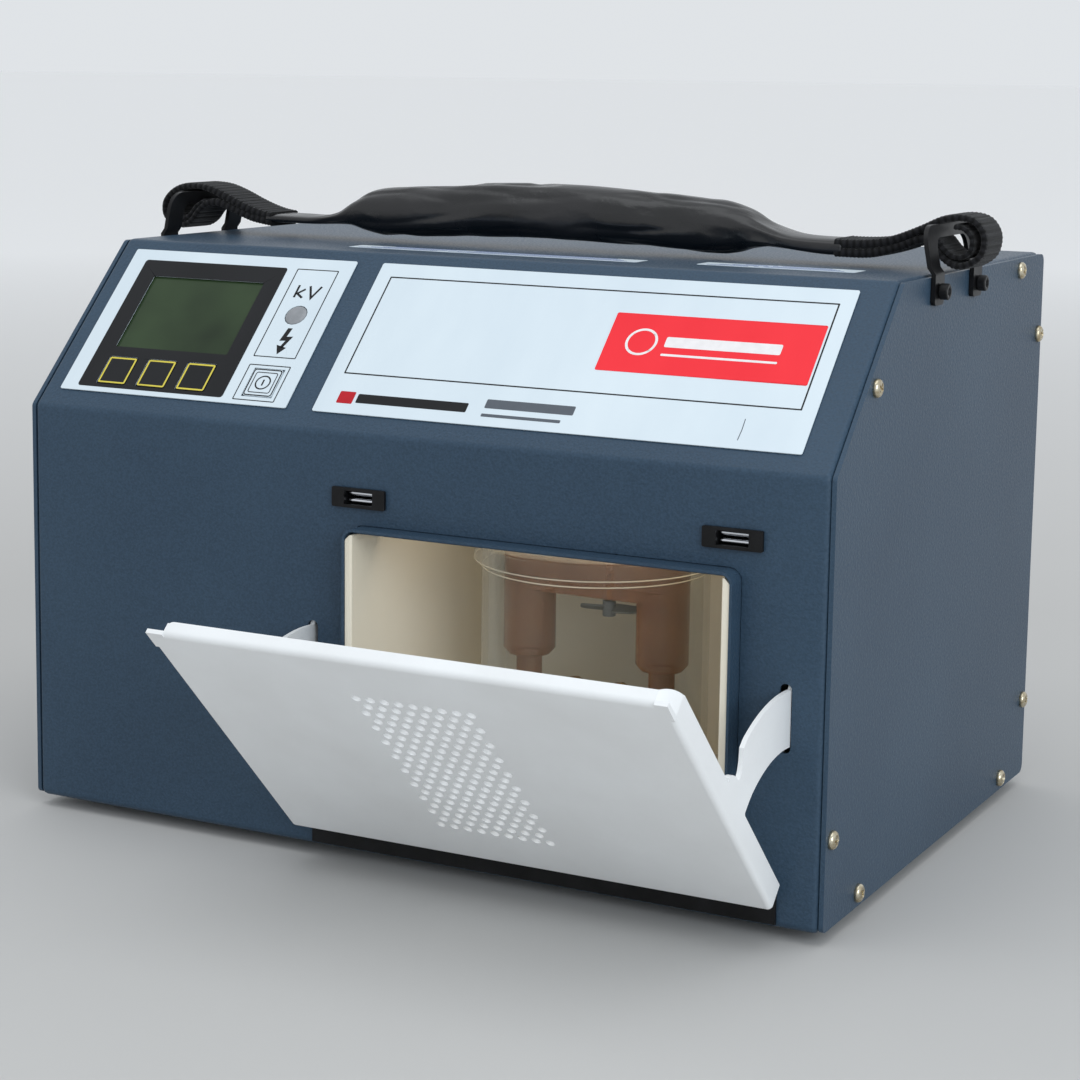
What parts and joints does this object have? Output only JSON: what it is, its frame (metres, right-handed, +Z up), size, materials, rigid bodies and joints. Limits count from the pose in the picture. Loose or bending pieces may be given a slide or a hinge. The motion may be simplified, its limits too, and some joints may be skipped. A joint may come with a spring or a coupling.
{
  "type": "insulating oil dielectric tester",
  "caption": "Portable oil dielectric tester: sheet-metal case with sloping control panel, drop-down perforated door, oil vessel with electrodes, carrying strap.",
  "frame": {"origin": "centre of the overall box in plan, at the undersides of the four feet", "axes": "+X to the operator's right, along the case's width; +Y from the front panel to the back; +Z up"},
  "size_m": [0.4364, 0.4096, 0.2979],
  "materials": {
    "case_paint": "hammered dark slate-blue powder coat",
    "liner": "cream, semi-gloss",
    "door_paint": "white gloss paint",
    "label": "satin printed polycarbonate",
    "display": "unlit reflective display",
    "board": "green solder mask",
    "lamp": "grey translucent lens, unlit",
    "key": "embossed membrane key",
    "black_metal": "satin black",
    "chrome": "polished",
    "steel": "machined",
    "supply_case": "plain",
    "rubber": "moulded",
    "clear_plastic": "clear moulded",
    "amber_plastic": "brown translucent",
    "brass": "polished",
    "grey_plastic": "grey moulded",
    "resin": "cast resin",
    "potting": "cast potting",
    "black_plastic": "moulded",
    "webbing": "black woven webbing",
    "shrink_sleeve": "semi-gloss shrink sleeve over padding"
  },
  "bodies": {
    "root": {"front_cover": "case_paint", "rear_panel": "case_paint", "base_plate": "case_paint", "side_panel_left": "case_paint", "side_panel_right": "case_paint", "chamber_collar": "case_paint", "chamber_liner": "liner", "chamber_roof": "liner", "control_overlay": "label", "name_plate": "label", "lcd_window": "display", "lcd_module": "board", "control_pcb": "board", "hv_lamp_lens": "lamp", "catch_body_left": "black_metal", "catch_body_right": "black_metal", "strap_bracket_left": "black_metal", "strap_bracket_right": "black_metal", "hinge_leaf_case": "black_metal", "bracket_screw_left_1": "black_metal", "bracket_screw_left_2": "black_metal", "bracket_screw_right_1": "black_metal", "bracket_screw_right_2": "black_metal", "hinge_pin": "steel", "stirrer_motor": "steel", "power_supply": "supply_case", "foot_1": "rubber", "foot_2": "rubber", "foot_3": "rubber", "foot_4": "rubber", "vessel_jar": "clear_plastic", "vessel_lid": "clear_plastic", "electrode_holder": "amber_plastic", "electrode_left": "brass", "electrode_right": "brass", "earth_terminal": "brass", "hv_bushing_left": "resin", "hv_bushing_right": "resin", "hv_transformer": "potting", "battery_pack": "potting", "mains_inlet": "black_plastic", "interlock_switch": "black_plastic", "strap_left": "webbing", "strap_right": "webbing"},
    "door": {"door_panel": "door_paint", "hinge_leaf_door": "black_metal", "door_strike_left": "steel", "door_strike_right": "steel"},
    "stirrer": {"stirrer_shaft": "brass", "stirrer_impeller": "grey_plastic", "stirrer_coupling": "steel"},
    "key_left": {"key_left": "key"},
    "key_middle": {"key_middle": "key"},
    "key_right": {"key_right": "key"},
    "key_power": {"key_power": "key"},
    "roller_left_upper": {"catch_roller_left_upper": "chrome"},
    "roller_left_lower": {"catch_roller_left_lower": "chrome"},
    "roller_right_upper": {"catch_roller_right_upper": "chrome"},
    "roller_right_lower": {"catch_roller_right_lower": "chrome"},
    "handle": {"handle_grip": "shrink_sleeve"}
  },
  "joints": [
    {"name": "door_hinge", "type": "hinge", "parent": "root", "child": "door", "pos_m": [0, -0.09022, 0.0215], "axis": [1, 0, 0], "range_deg": [-44.5, 0]},
    {"name": "stirrer_spin", "type": "hinge", "parent": "root", "child": "stirrer", "pos_m": [0.064, -0.00722, 0.1253], "axis": [0, 0, 1], "continuous": true},
    {"name": "key_left_press", "type": "slide", "parent": "root", "child": "key_left", "axis": [0, 0.7071, -0.7071], "range_m": [0, 0.0005], "stiffness_N_per_m": 1000},
    {"name": "key_middle_press", "type": "slide", "parent": "root", "child": "key_middle", "axis": [0, 0.7071, -0.7071], "range_m": [0, 0.0005], "stiffness_N_per_m": 1000},
    {"name": "key_right_press", "type": "slide", "parent": "root", "child": "key_right", "axis": [0, 0.7071, -0.7071], "range_m": [0, 0.0005], "stiffness_N_per_m": 1000},
    {"name": "key_power_press", "type": "slide", "parent": "root", "child": "key_power", "axis": [0, 0.7071, -0.7071], "range_m": [0, 0.0005], "stiffness_N_per_m": 1000},
    {"name": "roller_left_upper_slide", "type": "slide", "parent": "root", "child": "roller_left_upper", "axis": [0, 0, 1], "range_m": [0, 0.0006], "stiffness_N_per_m": 1000},
    {"name": "roller_left_lower_slide", "type": "slide", "parent": "root", "child": "roller_left_lower", "axis": [0, 0, -1], "range_m": [0, 0.0006], "stiffness_N_per_m": 1000},
    {"name": "roller_right_upper_slide", "type": "slide", "parent": "root", "child": "roller_right_upper", "axis": [0, 0, 1], "range_m": [0, 0.0006], "stiffness_N_per_m": 1000},
    {"name": "roller_right_lower_slide", "type": "slide", "parent": "root", "child": "roller_right_lower", "axis": [0, 0, -1], "range_m": [0, 0.0006], "stiffness_N_per_m": 1000},
    {"name": "handle_lift", "type": "slide", "parent": "root", "child": "handle", "axis": [0, 0, 1], "range_m": [0, 0.02], "deforming": ["strap_left", "strap_right"]}
  ]
}
